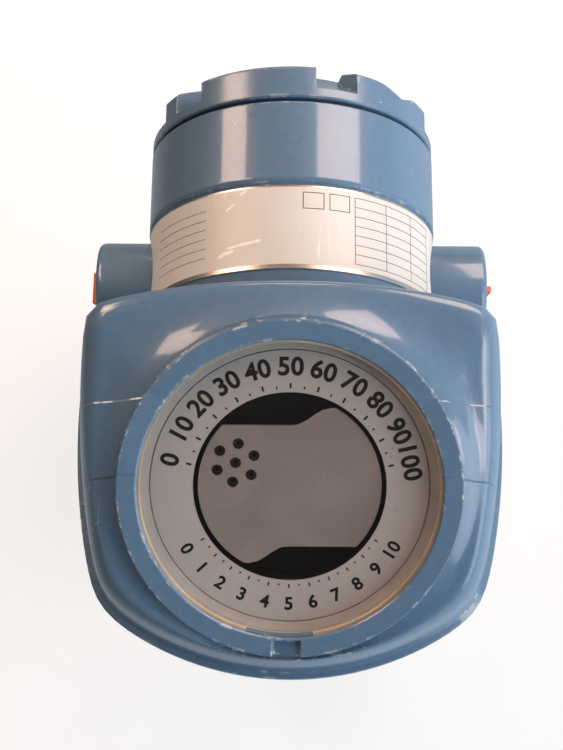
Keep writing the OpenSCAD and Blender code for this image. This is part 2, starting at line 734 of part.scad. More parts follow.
housing();
terminal_cover();
cover_o_ring();
cover_lock_screw();
name_plate_band();
snap_ring();
window_glass();
glass_gasket();
dial_ring();
window_bowl();
contact_plate();
pin_socket();
circuit_board();
board_pillars();
board_screws();
radar_module();
coax_line();
coax_connector();
feedthrough();
terminal_block();
terminal_clamps();
terminal_screws();
block_screws();
inner_ground_screw();
outer_ground_screw();
outer_ground_clamp();
conduit_plug_left();
conduit_plug_right();
coupling_nut();
nut_retaining_ring();
neck_o_ring();
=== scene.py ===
from math import cos, pi, radians, sin

import bmesh
import bpy
from mathutils import Matrix, Vector


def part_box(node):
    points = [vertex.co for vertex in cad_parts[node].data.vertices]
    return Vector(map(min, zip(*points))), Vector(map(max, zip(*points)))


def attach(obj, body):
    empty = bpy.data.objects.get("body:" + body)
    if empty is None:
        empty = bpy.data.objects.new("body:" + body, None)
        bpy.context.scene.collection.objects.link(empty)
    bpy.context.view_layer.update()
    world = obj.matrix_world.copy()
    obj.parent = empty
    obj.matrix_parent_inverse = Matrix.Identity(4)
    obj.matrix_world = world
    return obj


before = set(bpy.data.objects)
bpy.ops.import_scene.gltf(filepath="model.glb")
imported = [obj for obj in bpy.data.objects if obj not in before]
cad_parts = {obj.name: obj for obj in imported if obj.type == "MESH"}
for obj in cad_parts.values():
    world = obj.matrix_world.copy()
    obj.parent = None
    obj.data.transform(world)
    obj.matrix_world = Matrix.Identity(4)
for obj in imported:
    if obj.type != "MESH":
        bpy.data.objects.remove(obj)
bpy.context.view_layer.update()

MM = 0.001


def middle(node):
    low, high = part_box(node)
    return (Vector(low) + Vector(high)) / 2


def extent(node, axis):
    low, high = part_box(node)
    return low[axis], high[axis]


# Places and sizes, in metres, of what the finishes and the printed marks follow
AXIS_Z = middle("terminal_cover").z
BARREL_R = (extent("terminal_cover", 0)[1] - extent("terminal_cover", 0)[0]) / 2
BARREL_END = extent("housing", 1)[1]
BAND_LOW, BAND_HIGH = extent("name_plate_band", 1)
CONDUIT_Y = middle("conduit_plug_right").y
NUT_FOOT = extent("coupling_nut", 2)[0]
WINDOW_LEAN = radians(27.6)      # from level
DIAL = Matrix.Translation(middle("dial_ring")) @ Matrix.Rotation(WINDOW_LEAN, 4, "X")


# ---------------------------------------------------------------- camera and lamps

SENSOR_WIDTH, FOCAL_LENGTH = 36, 67.2
CAMERA_PLACE = (-0.00079, -0.12018, 0.53532)
CAMERA_VIEW = (-0.004587, 0.298610, -0.954364)
CAMERA_UP = (-0.008384, 0.954329, 0.298640)
LAMP_TARGET_Z = 0.12

# Name, degrees from the vertical towards +X, distance, width, length along Y, place along Y,
# watts, colour
LAMPS = (
    ("right_box", 37, 0.95, 0.60, 1.00, 0.78, 9.7, (1.0, 0.74, 0.62)),
    ("left_box", -47, 0.95, 0.34, 0.58, 0.56, 4.0, (1.0, 0.70, 0.53)),
    ("left_low_box", -37, 0.95, 0.24, 0.28, 0.22, 1.3, (1.0, 0.70, 0.53)),
    ("side_box", 48, 0.95, 0.20, 0.20, -0.38, 0.6, (1.0, 0.80, 0.74)),
    ("day_box", 66, 1.0, 0.60, 0.90, -0.65, 3.2, (0.80, 0.91, 1.0)),
    ("rim_box", 0, 0.50, 0.30, 0.20, 1.05, 2.6, (1.0, 0.70, 0.54)),
)


def link(obj):
    bpy.context.scene.collection.objects.link(obj)
    return obj


def aim(obj, place, view, up):
    """Stands a camera or a lamp at a place, facing along view."""
    view, up = Vector(view).normalized(), Vector(up)
    right = view.cross(up).normalized()
    turn = Matrix((right, right.cross(view), -view)).transposed()
    obj.matrix_world = Matrix.Translation(place) @ turn.to_4x4()


def soft_box(name, angle, reach, width, length, y, watts, colour):
    """A long lamp along Y, at an angle from the vertical in the XZ plane, that faces the part."""
    lamp = bpy.data.lights.new(name, "AREA")
    lamp.shape, lamp.size, lamp.size_y = "RECTANGLE", width, length
    lamp.energy, lamp.color = watts, colour
    side = Vector((sin(radians(angle)), 0, cos(radians(angle))))
    place = side * reach + Vector((0, y, LAMP_TARGET_Z))
    aim(link(bpy.data.objects.new(name, lamp)), place, -side, (0, 1, 0))


lens = bpy.data.cameras.new("camera")
lens.sensor_fit, lens.sensor_width, lens.lens = "AUTO", SENSOR_WIDTH, FOCAL_LENGTH
camera = link(bpy.data.objects.new("camera", lens))
aim(camera, CAMERA_PLACE, CAMERA_VIEW, CAMERA_UP)
bpy.context.scene.camera = camera
bpy.context.scene.view_settings.view_transform = "Standard"
for lamp_row in LAMPS:
    soft_box(*lamp_row)


# ---------------------------------------------------------------- node helpers

class Net:
    """Builds the nodes of one material or of the world."""

    def __init__(self, owner):
        owner.use_nodes = True
        self.owner, self.tree = owner, owner.node_tree
        self.tree.nodes.clear()
        self.where = None

    def add(self, kind, inputs=None, **settings):
        node = self.tree.nodes.new(kind)
        for key, value in settings.items():
            setattr(node, key, value)
        for key, value in (inputs or {}).items():
            self.put(node.inputs[key], value)
        return node

    def put(self, socket, value):
        if isinstance(value, bpy.types.NodeSocket):
            self.tree.links.new(value, socket)
        elif isinstance(value, tuple) and len(value) == 3 and socket.type == "RGBA":
            socket.default_value = (*value, 1)
        else:
            socket.default_value = value

    def finish(self, shader):
        is_world = isinstance(self.owner, bpy.types.World)
        self.add("ShaderNodeOutputWorld" if is_world else "ShaderNodeOutputMaterial",
                 {"Surface": shader})

    # Sums

    def math(self, kind, a, b=0.0, clamp=False):
        node = self.add("ShaderNodeMath", {0: a, 1: b}, operation=kind, use_clamp=clamp)
        return node.outputs[0]

    def chain(self, kind, values):
        total = values[0]
        for value in values[1:]:
            total = self.math(kind, total, value)
        return total

    def plus(self, *values):
        return self.chain("ADD", values)

    def times(self, *values):
        return self.chain("MULTIPLY", values)

    def most(self, *values):
        return self.chain("MAXIMUM", values)

    def minus(self, a, b):
        return self.math("SUBTRACT", a, b)

    def less(self, value):
        return self.minus(1.0, value)

    def size(self, value):
        return self.math("ABSOLUTE", value)

    def length(self, a, b):
        return self.math("SQRT", self.plus(self.times(a, a), self.times(b, b)))

    def span(self, value, low, high, to_low=0.0, to_high=1.0, kind="LINEAR"):
        return self.add("ShaderNodeMapRange", {"Value": value, "From Min": low, "From Max": high,
                                               "To Min": to_low, "To Max": to_high},
                        interpolation_type=kind).outputs[0]

    def within(self, value, low, high, soft):
        return self.times(self.span(value, low - soft, low + soft),
                          self.span(value, high + soft, high - soft))

    def mix(self, share, a, b):
        node = self.add("ShaderNodeMix", data_type="RGBA")
        for socket, value in zip((node.inputs[0], node.inputs[6], node.inputs[7]), (share, a, b)):
            self.put(socket, value)
        return node.outputs[2]

    # Places: the frame's own coordinates in metres, which move with the piece

    def place(self):
        if self.where is None:
            self.where = self.add("ShaderNodeTexCoord").outputs["Object"]
        return self.where

    def parts(self, vector=None):
        node = self.add("ShaderNodeSeparateXYZ", {0: vector or self.place()})
        return node.outputs[0], node.outputs[1], node.outputs[2]

    def stretched(self, scale, turn=(0, 0, 0)):
        return self.add("ShaderNodeMapping", {"Vector": self.place(), "Scale": scale,
                                              "Rotation": turn}).outputs[0]

    def turn_arc(self, radius):
        """Arc length round the barrel's axis from the top towards +X, and the place along it."""
        x, y, z = self.parts()
        return self.times(self.math("ARCTAN2", x, self.minus(z, AXIS_Z)), radius), y

    # Patterns

    def noise(self, scale, detail=2.0, rough=0.5, vector=None):
        return self.add("ShaderNodeTexNoise", {"Vector": vector or self.place(), "Scale": scale,
                                               "Detail": detail, "Roughness": rough}).outputs[0]

    def patches(self, low, high, scale, detail=2.0, rough=0.5):
        """From 0 to 1 where a noise goes from low to high."""
        return self.span(self.noise(scale, detail, rough), low, high)

    def cells(self, scale, feature="F1"):
        return self.add("ShaderNodeTexVoronoi", {"Vector": self.place(), "Scale": scale},
                        feature=feature).outputs[0]

    def edges(self, radius, low=0.04, high=0.3):
        """Near 1 along sharp edges."""
        flat = self.add("ShaderNodeNewGeometry").outputs["Normal"]
        dot = self.add("ShaderNodeVectorMath", {0: self.rounded(radius), 1: flat},
                       operation="DOT_PRODUCT")
        return self.span(self.less(dot.outputs["Value"]), low, high)

    def scratches(self, scale, turn, width, cover):
        """Thin broken lines along one direction."""
        lines = self.noise(1.0, 1.0, 0.4, self.stretched((scale, scale * 0.04, scale), turn))
        thin = self.span(self.size(self.minus(lines, 0.5)), width, width * 0.3)
        area = self.noise(scale * 0.09, 2.0, 0.5, self.stretched((1, 1, 1), turn))
        return self.times(thin, self.span(area, cover, cover + 0.04))

    def stroke(self, u, v, start, end, width):
        """Near 1 along a short ragged scratch from start to end."""
        run = Vector(end) - Vector(start)
        du, dv = self.minus(u, start[0]), self.minus(v, start[1])
        share = self.plus(self.times(du, run.x / run.length_squared),
                          self.times(dv, run.y / run.length_squared))
        share = self.math("MINIMUM", self.most(share, 0.0), 1.0)
        off = self.length(self.minus(du, self.times(share, run.x)),
                          self.minus(dv, self.times(share, run.y)))
        ragged = self.span(self.noise(900, 3.0, 0.6), 0.3, 0.7, width * 0.35, width)
        return self.span(self.math("DIVIDE", off, ragged), 1.1, 0.8)

    def barrel_strokes(self, y_from, rows):
        """Scratches on the barrel, each as the turn in degrees and the mm along Y past y_from
        of its start and of its end, and its width in mm."""
        u, v = self.turn_arc(BARREL_R)
        return self.most(*[
            self.stroke(u, v, (radians(turn_a) * BARREL_R, y_from + a * MM),
                        (radians(turn_b) * BARREL_R, y_from + b * MM), width * MM)
            for turn_a, a, turn_b, b, width in rows])

    def helix(self, along, around_a, around_b, pitch):
        """A thread's ridge, from 0 to 1, round an axis."""
        turn = self.math("ARCTAN2", around_a, around_b)
        phase = self.plus(self.math("DIVIDE", along, pitch), self.math("DIVIDE", turn, 2 * pi))
        return self.times(self.size(self.minus(self.math("FRACT", phase), 0.5)), 2.0)

    # Surfaces and light

    def rounded(self, radius):
        return self.add("ShaderNodeBevel", {"Radius": radius}, samples=6).outputs[0]

    def bump(self, height, distance, normal=None):
        inputs = {"Height": height, "Distance": distance}
        if normal is not None:
            inputs["Normal"] = normal
        return self.add("ShaderNodeBump", inputs).outputs[0]

    def surface(self, colour, roughness, normal, **fixed):
        inputs = {"Base Color": colour, "Roughness": roughness, "Normal": normal}
        inputs.update({key.replace("_", " "): value for key, value in fixed.items()})
        self.finish(self.add("ShaderNodeBsdfPrincipled", inputs).outputs[0])

    def sight(self):
        """1 for the camera's own rays, also after they have only passed through the pane,
        and 1 for mirror rays."""
        rays = self.add("ShaderNodeLightPath")
        bounces = self.plus(rays.outputs["Diffuse Depth"], rays.outputs["Glossy Depth"])
        unbounced = self.less(self.math("MINIMUM", bounces, 1.0))
        through = self.times(rays.outputs["Is Transmission Ray"], unbounced)
        return self.most(rays.outputs["Is Camera Ray"], through), rays.outputs["Is Glossy Ray"]


def new_net(name):
    return Net(bpy.data.materials.new(name))


# ---------------------------------------------------------------- world and floor

WHITE = (1.0, 1.0, 1.0)
FLOOR_HALF = 2.5


def make_world():
    """White where it is seen; as a light dim at the left, with daylight from the right."""
    world = bpy.data.worlds.new("studio")
    bpy.context.scene.world = world
    net = Net(world)
    seen, mirrored = net.sight()
    generated = net.add("ShaderNodeTexCoord").outputs["Generated"]
    along_x, along_y, _ = net.parts(generated)

    from_dark = net.plus(net.times(along_x, 0.75), net.times(along_y, 0.66))
    light = net.mix(net.span(from_dark, -0.7, 0.2), (0.045, 0.044, 0.041), (0.15, 0.22, 0.26))
    to_day = net.minus(net.times(along_x, 0.95), net.times(along_y, 0.31))
    light = net.mix(net.span(to_day, 0.62, 1.0), light, (3.6, 4.25, 4.9))

    walls = net.mix(net.span(along_x, -0.7, 0.2), (0.15, 0.15, 0.145), (0.34, 0.33, 0.32))
    walls = net.mix(net.span(along_x, 0.3, 0.95), walls, (0.45, 0.60, 0.80))
    walls = net.mix(net.span(along_y, -0.80, -0.10), (0.045, 0.042, 0.040), walls)

    colour = net.mix(seen, net.mix(mirrored, light, walls), WHITE)
    net.finish(net.add("ShaderNodeBackground", {"Color": colour}).outputs[0])


def make_floor():
    """A pale floor that keeps the shadow and glows a little, more so far from the part. In mirrors
    it shows a painted reflection instead: a glow, dark at the left and bright and bluish at the
    right.
    """
    mesh = bpy.data.meshes.new("floor")
    corners = [(x * FLOOR_HALF, y * FLOOR_HALF, 0) for x, y in ((-1, -1), (1, -1), (1, 1), (-1, 1))]
    mesh.from_pydata(corners, [], [(0, 1, 2, 3)])
    floor = link(bpy.data.objects.new("floor", mesh))
    net = new_net("floor")
    seen, mirrored = net.sight()
    x, y, _ = net.parts()

    shade = net.mix(net.noise(60, 3.0), (0.43, 0.41, 0.39), (0.47, 0.45, 0.43))
    lit = net.add("ShaderNodeBsdfDiffuse", {"Color": shade})
    near_glow, far_glow = 0.64, 0.92
    glow = net.span(net.length(x, y), 0.45, 1.5, near_glow, far_glow)
    extra = net.add("ShaderNodeEmission", {"Color": WHITE, "Strength": net.times(seen, glow)})
    both = net.add("ShaderNodeAddShader", {0: lit.outputs[0], 1: extra.outputs[0]})

    # Painted reflection: mirrors see the floor as a glow, dark at the left and bright and bluish at
    # the right
    painted_reflection_glow = net.mix(net.span(x, -0.3, 0.35), (0.10, 0.10, 0.095), (0.60, 0.72, 0.86))
    in_mirror = net.add("ShaderNodeEmission", {"Color": painted_reflection_glow, "Strength": 1.0})
    mirror_only = net.times(mirrored, net.less(seen))
    surface = net.add("ShaderNodeMixShader", {0: mirror_only, 1: both.outputs[0],
                                              2: in_mirror.outputs[0]})
    net.finish(surface.outputs[0])
    mesh.materials.append(net.owner)


make_world()
make_floor()


# ---------------------------------------------------------------- enamel

COVER_PITCH = 2.0 * MM           # one turn of the cover's joint
CONDUIT_PITCH = 1.8 * MM
CHAMBER_R = 42.3 * MM            # bare metal starts inside this radius
CHAMBER_FLOOR = 25 * MM          # along Y
SKIRT_R = 42 * MM
THREAD_ROOT_R = 40.6 * MM
CONDUIT_BORE_R = 10.5 * MM
CONDUIT_INNER_X = 38 * MM
ENAMEL_UNIT = 0.05 * MM          # the heights and depths below are in these units
LEDGE_RISE = 14.0                # behind the name plate
FOOT_RISE = 32.0                 # in front of the name plate
THREAD_RISE = 12.0
INSERT_RISE = 6.0                # the raised fields on the hood's flanks
CRACK_DEPTH = 1.5
CHIP_DEPTH = 1.6
SCRATCH_DEPTH = 0.25
CRACKS = ((-23.49, 23.4, -22.06, 21.6, 0.45), (-22.46, 22.6, -20.63, 20.2, 0.35))


def casting_marks(net, x, y, up, from_axis):
    """Where the housing is bare, where its paint is cracked, and its threads and low ledges."""
    out, along = net.size(x), net.minus(y, CONDUIT_Y)
    inside = net.times(net.span(from_axis, CHAMBER_R, CHAMBER_R - 0.4 * MM),
                       net.span(y, CHAMBER_FLOOR, CHAMBER_FLOOR + 0.6 * MM))
    thread = net.times(
        net.within(y, BARREL_END - 14.5 * MM, BARREL_END - 1.8 * MM, 0.2 * MM),
        net.span(from_axis, THREAD_ROOT_R, THREAD_ROOT_R + 0.3 * MM), inside)
    bore = net.times(net.span(net.length(along, up), CONDUIT_BORE_R, CONDUIT_BORE_R - 0.2 * MM),
                     net.span(out, CONDUIT_INNER_X, CONDUIT_INNER_X + 0.6 * MM))
    on_barrel = net.span(from_axis, BARREL_R - 1.5 * MM, BARREL_R - 1.2 * MM)
    ledge = net.times(net.span(y, BAND_HIGH + 0.4 * MM, BAND_HIGH + 3.0 * MM, kind="SMOOTHSTEP"),
                      on_barrel)
    foot = net.times(net.span(y, BAND_LOW - 5 * MM, BAND_LOW), on_barrel)
    crack = net.barrel_strokes(BAND_HIGH, CRACKS)
    insert = net.times(net.within(y, -27.8 * MM, -7.2 * MM, 0.25 * MM),
                       net.span(out, 38 * MM, 47 * MM))
    relief = net.plus(net.times(net.helix(y, x, up, COVER_PITCH), thread, THREAD_RISE),
                      net.times(net.helix(out, along, up, CONDUIT_PITCH), bore, THREAD_RISE),
                      net.times(ledge, LEDGE_RISE), net.times(foot, FOOT_RISE),
                      net.times(crack, -CRACK_DEPTH), net.times(insert, INSERT_RISE))
    return net.most(inside, bore), crack, relief


def skirt_marks(net, x, y, up, from_axis):
    """Where the cover is bare, which is its skirt, and the skirt's thread."""
    bare = net.times(net.span(y, BARREL_END + 0.6 * MM, BARREL_END + 0.2 * MM),
                     net.span(from_axis, SKIRT_R, SKIRT_R - 0.4 * MM))
    thread = net.span(from_axis, THREAD_ROOT_R, THREAD_ROOT_R + 0.3 * MM)
    return bare, net.times(net.helix(y, x, up, COVER_PITCH), bare, THREAD_RISE, thread)


def enamel(name, base, deep, chip_share, cast):
    """Glossy blue enamel on aluminium, with dust, stains, scratches, chips and bare threads."""
    net = new_net(name)
    x, y, z = net.parts()
    up = net.minus(z, AXIS_Z)
    from_axis = net.length(x, up)

    # Paint and dirt
    colour = net.mix(net.patches(0.3, 0.7, 11, 2.0), deep, base)
    grain = net.patches(0.35, 0.8, 420, 3.0, 0.6)
    colour = net.mix(net.times(grain, 0.05), colour, (0.62, 0.72, 0.78))
    dust = net.times(net.patches(0.68, 0.76, 1500, 2.0, 0.6), net.patches(0.48, 0.66, 45, 3.0))
    colour = net.mix(net.times(dust, 0.35), colour, (0.75, 0.76, 0.74))
    stain = net.patches(0.62, 0.76, 70, 5.0, 0.65)
    colour = net.mix(net.times(stain, 0.16), colour, (0.045, 0.060, 0.070))

    # Wear: scratches, rubbed edges, and chips in clusters along edges and now and then on faces
    marks = net.most(net.scratches(150, (0.4, 0.2, 0.9), 0.006, 0.66),
                     net.scratches(190, (1.1, 0.7, -0.5), 0.005, 0.68))
    colour = net.mix(net.times(marks, 0.55), colour, (0.70, 0.73, 0.74))
    rubbed = net.times(net.edges(0.9 * MM), net.patches(0.3, 0.7, 120, 3.0))
    colour = net.mix(net.times(rubbed, 0.32), colour, (0.50, 0.58, 0.66))
    edge_chips = net.times(net.edges(1.7 * MM, 0.03, 0.10),
                           net.patches(chip_share, chip_share + 0.04, 330, 4.0, 0.7),
                           net.patches(0.47, 0.53, 42, 2.0))
    face_chips = net.times(net.patches(0.745, 0.765, 240, 3.0, 0.6),
                           net.patches(0.52, 0.58, 38, 2.0))
    chips = net.most(edge_chips, face_chips)
    primer = net.mix(net.patches(0.4, 0.6, 900, 2.0), (0.62, 0.60, 0.55), (0.80, 0.79, 0.75))
    colour = net.mix(chips, colour, primer)
    height = net.plus(net.times(chips, -CHIP_DEPTH), net.times(marks, -SCRATCH_DEPTH))

    # Bare alloy and relief
    if cast:
        bare, crack, relief = casting_marks(net, x, y, up, from_axis)
        colour = net.mix(net.times(crack, 0.6), colour, (0.45, 0.48, 0.48))
    else:
        bare, relief = skirt_marks(net, x, y, up, from_axis)
    height = net.plus(height, relief)
    alloy = net.mix(net.noise(300, 4.0, 0.7), (0.42, 0.42, 0.41), (0.58, 0.58, 0.56))
    colour = net.mix(bare, colour, alloy)

    # Gloss: the paint has orange peel, and the clear top is smoother
    roughness = net.span(net.noise(30, 4.0, 0.6), 0.3, 0.7, 0.26, 0.38)
    roughness = net.plus(roughness, net.times(chips, 0.3))
    roughness = net.math("ADD", roughness, net.times(dust, 0.15), True)
    peel = net.plus(net.times(net.noise(560, 2.0), 0.35), net.times(net.noise(85, 2.0), 2.2))
    soft_edge = net.rounded(0.7 * MM)
    body = net.bump(net.plus(height, peel), ENAMEL_UNIT, soft_edge)
    top = net.bump(net.plus(height, net.times(peel, 0.12)), ENAMEL_UNIT, soft_edge)
    net.surface(colour, roughness, body, Coat_Normal=top, Coat_Weight=1.0,
                Coat_Roughness=0.09 if cast else 0.2, Coat_IOR=1.6)
    return net.owner


# ---------------------------------------------------------------- metals

NUT_PITCH = 2.0 * MM
NUT_THREAD = (25.6 * MM, 26.4 * MM)      # radii between which the nut's thread shows
GOUGES = ((-19, 25.0, -18, 25.3, 0.9), (-25, 20.2, -22, 21.8, 0.5),
          (-24, 7.8, -12, 9.1, 0.6), (-27.5, 5.6, -22.5, 6.7, 0.9))


def metal(name, light, dark, roughness, grain=900, bright_edges=0.5, metallic=1.0, relief=0.012):
    """Fine-grained metal with fine scratches; relief is in mm."""
    net = new_net(name)
    fine = net.noise(grain, 4.0, 0.65)
    cloud = net.noise(60, 3.0)
    darker = tuple(0.55 * c for c in dark)
    brighter = tuple(min(1, 1.2 * c) for c in light)
    colour = net.mix(net.span(cloud, 0.3, 0.7), dark, light)
    colour = net.mix(net.times(net.span(fine, 0.55, 0.75), 0.35), colour, darker)
    colour = net.mix(net.times(net.edges(0.35 * MM), bright_edges), colour, brighter)
    marks = net.most(net.scratches(700, (0.3, 0.5, 0.2), 0.02, 0.5),
                     net.scratches(900, (0.9, 0.1, 1.2), 0.02, 0.52))
    rough = net.plus(net.span(cloud, 0.3, 0.7, roughness - 0.05, roughness + 0.07),
                     net.times(marks, 0.2))
    height = net.minus(net.times(fine, 0.5), net.times(marks, 0.6))
    net.surface(colour, rough, net.bump(height, relief * MM, net.rounded(0.2 * MM)),
                Metallic=metallic)
    return net.owner


def nut_steel():
    """Turned stainless steel, with a thread inside the nut."""
    net = new_net("steel")
    x, y, z = net.parts()
    from_axis = net.length(x, y)
    rings = net.noise(1.0, 2.0, 0.6, net.stretched((60, 60, 4200)))
    cloud = net.noise(70, 3.0)
    colour = net.mix(net.span(cloud, 0.3, 0.7), (0.50, 0.49, 0.47), (0.66, 0.65, 0.62))
    colour = net.mix(net.times(net.edges(0.4 * MM), 0.5), colour, (0.85, 0.84, 0.80))
    marks = net.scratches(600, (0.2, 0.4, 0.3), 0.02, 0.52)
    thread = net.times(net.within(z, NUT_FOOT + 0.6 * MM, NUT_FOOT + 11.3 * MM, 0.2 * MM),
                       net.span(from_axis, NUT_THREAD[1], NUT_THREAD[1] - 0.2 * MM),
                       net.span(from_axis, NUT_THREAD[0], NUT_THREAD[0] + 0.2 * MM))
    thread = net.times(net.helix(z, x, y, NUT_PITCH), thread, 40.0)
    height = net.minus(net.plus(net.times(rings, 0.2), thread), net.times(marks, 0.5))
    roughness = net.plus(net.span(cloud, 0.3, 0.7, 0.26, 0.36), net.times(marks, 0.2))
    net.surface(colour, roughness, net.bump(height, 0.015 * MM, net.rounded(0.3 * MM)),
                Metallic=1.0)
    return net.owner


def plate_metal():
    """Name plate: off-white lacquer on aluminium, bare along both rims, scratched and nicked."""
    net = new_net("plate_metal")
    _, y, _ = net.parts()
    bare = net.most(net.span(y, BAND_LOW + 1.5 * MM, BAND_LOW + 1.3 * MM),
                    net.span(y, BAND_HIGH - 0.7 * MM, BAND_HIGH - 0.5 * MM))
    marks = net.most(net.scratches(240, (0.0, 0.3, 0.5), 0.012, 0.58),
                     net.scratches(300, (0.4, 0.9, -0.7), 0.010, 0.60))
    nicks = net.times(net.patches(0.68, 0.72, 300, 4.0, 0.7), net.patches(0.5, 0.6, 50, 2.0))
    brushed = net.noise(1.0, 3.0, 0.6, net.stretched((90, 2600, 90)))
    smudge = net.patches(0.58, 0.75, 120, 5.0, 0.7)
    lacquer = net.mix(net.patches(0.3, 0.7, 40, 4.0), (0.74, 0.675, 0.595), (0.79, 0.73, 0.66))
    lacquer = net.mix(net.times(smudge, 0.3), lacquer, (0.60, 0.54, 0.49))
    lacquer = net.mix(net.most(marks, nicks), lacquer, (0.86, 0.84, 0.80))
    lacquer = net.mix(net.barrel_strokes(BAND_LOW, GOUGES), lacquer, (0.97, 0.96, 0.94))
    aluminium = net.mix(brushed, (0.58, 0.50, 0.42), (0.70, 0.62, 0.53))
    roughness = net.minus(net.span(brushed, 0.2, 0.8, 0.42, 0.50), net.times(bare, 0.18))
    height = net.minus(net.times(brushed, 0.10), net.times(bare, 0.8))
    net.surface(net.mix(bare, lacquer, aluminium), roughness,
                net.bump(height, 0.02 * MM, net.rounded(0.15 * MM)), Metallic=net.most(bare, 0.05))
    return net.owner


# ---------------------------------------------------------------- plastics, glass and print

def plastic(name, light, dark, roughness, grain=800, bump=0.02, scuff=0.3, coat=0.0, gloss=0.5):
    """Moulded plastic with fine grain and scuffed edges; bump is in mm."""
    net = new_net(name)
    fine = net.noise(grain, 3.0, 0.6)
    scuffed = tuple(min(1, 0.5 * c + 0.4) for c in light)
    colour = net.mix(net.patches(0.3, 0.7, 70, 4.0), dark, light)
    scuffs = net.times(net.edges(0.4 * MM), net.patches(0.45, 0.6, 400, 4.0, 0.7))
    colour = net.mix(net.times(scuffs, scuff), colour, scuffed)
    rough = net.span(fine, 0.2, 0.8, roughness - 0.06, roughness + 0.08)
    net.surface(colour, rough, net.bump(fine, bump * MM, net.rounded(0.25 * MM)),
                Coat_Weight=coat, Coat_Roughness=0.2, Specular_IOR_Level=gloss)
    return net.owner


def dial_print():
    """Silver-grey satin print with fine dust."""
    net = new_net("dial_print")
    fine = net.noise(2600, 3.0, 0.7)
    colour = net.mix(net.patches(0.3, 0.7, 28, 4.0), (0.420, 0.372, 0.360), (0.455, 0.405, 0.392))
    colour = net.mix(net.times(net.span(fine, 0.4, 0.7), 0.25), colour, (0.50, 0.45, 0.43))
    specks = net.times(net.patches(0.70, 0.76, 900, 2.0), 0.5)
    colour = net.mix(specks, colour, (0.10, 0.09, 0.08))
    net.surface(colour, net.span(fine, 0.2, 0.8, 0.34, 0.46), net.bump(fine, 0.003 * MM),
                Metallic=0.2)
    return net.owner


def pane():
    """Clear glass with faint smears; lamp light goes straight through it to the dial."""
    net = new_net("glass")
    smear = net.noise(1.0, 4.0, 0.6, net.stretched((30, 90, 30), (0.3, 0.2, 0.6)))
    glass = net.add("ShaderNodeBsdfPrincipled", {
        "Base Color": (0.965, 0.985, 0.975), "Roughness": net.span(smear, 0.55, 0.8, 0.0, 0.012),
        "Transmission Weight": 1.0, "IOR": 1.47})
    clear = net.add("ShaderNodeBsdfTransparent", {"Color": (0.93, 0.95, 0.94)})
    shadow = net.add("ShaderNodeLightPath").outputs["Is Shadow Ray"]
    net.finish(net.add("ShaderNodeMixShader", {0: shadow, 1: glass.outputs[0],
                                               2: clear.outputs[0]}).outputs[0])
    return net.owner


def rubber():
    net = new_net("rubber")
    fine = net.noise(1400, 3.0, 0.6)
    colour = net.mix(net.noise(90, 3.0), (0.012, 0.012, 0.013), (0.035, 0.034, 0.033))
    net.surface(colour, net.span(fine, 0.2, 0.8, 0.48, 0.62), net.bump(fine, 0.01 * MM),
                Sheen_Weight=0.1)
    return net.owner


def board():
    """Solder mask with faint copper tracks below it."""
    net = new_net("board_green")
    tracks = net.span(net.cells(260, "DISTANCE_TO_EDGE"), 0.05, 0.09)
    pads = net.span(net.cells(190), 0.13, 0.11)
    colour = net.mix(tracks, (0.03, 0.16, 0.07), (0.015, 0.085, 0.04))
    colour = net.mix(net.times(pads, 0.8), colour, (0.70, 0.60, 0.35))
    height = net.minus(net.times(pads, 0.8), net.times(tracks, 0.4))
    net.surface(colour, net.span(net.noise(500), 0.3, 0.7, 0.3, 0.42),
                net.bump(height, 0.03 * MM), Coat_Weight=0.3)
    return net.owner


def ink(name, colour):
    net = new_net(name)
    fine = net.noise(2200, 3.0, 0.7)
    paler = tuple(c + 0.012 for c in colour)
    net.surface(net.mix(net.span(fine, 0.4, 0.7), colour, paler),
                net.span(fine, 0.2, 0.8, 0.45, 0.6), net.bump(fine, 0.004 * MM),
                Specular_IOR_Level=0.12)
    return net.owner


# ---------------------------------------------------------------- finishes of the CAD nodes

FINISH = {
    "housing_paint": enamel("housing_paint", (0.112, 0.199, 0.303), (0.105, 0.188, 0.287),
                            0.535, True),
    "cover_paint": enamel("cover_paint", (0.110, 0.196, 0.298), (0.103, 0.185, 0.282),
                          0.515, False),
    "plate_metal": plate_metal(),
    "snap_ring_metal": metal("snap_ring_metal", (0.95, 0.72, 0.52), (0.74, 0.54, 0.37), 0.36,
                             bright_edges=0.3, metallic=0.6),
    "glass": pane(),
    "dial_print": dial_print(),
    # Black plastic; its near-black, where it lines the hollow round the plate under the window, is
    # also painted shade for that deep space
    "black_plastic": plastic("black_plastic", (0.005, 0.0045, 0.0045), (0.003, 0.003, 0.003), 0.5,
                             bump=0.002, scuff=0.05, gloss=0.12),
    "contact_metal": metal("contact_metal", (0.33, 0.265, 0.248), (0.29, 0.232, 0.218), 0.42,
                           grain=1600, bright_edges=0.2, metallic=0.5, relief=0.002),
    "board_green": board(),
    "steel": nut_steel(),
    "gilt_brass": metal("gilt_brass", (0.86, 0.66, 0.30), (0.70, 0.52, 0.22), 0.28),
    "rubber": rubber(),
    "orange_plastic": plastic("orange_plastic", (0.80, 0.17, 0.028), (0.66, 0.12, 0.018), 0.38,
                              grain=500, bump=0.03, scuff=0.35, coat=0.2),
}

# Two pieces look different from the rest of their slot
OWN_FINISH = {
    # The pin sockets' near-black brown is painted shade for the deep holes they sit in
    "pin_socket": plastic("socket_painted_shade", (0.034, 0.020, 0.015), (0.026, 0.015, 0.011), 0.5,
                          bump=0.004),
    "glass_gasket": plastic("gasket_grey", (0.43, 0.375, 0.35), (0.37, 0.320, 0.298), 0.55,
                            bump=0.006, scuff=0.0),
}


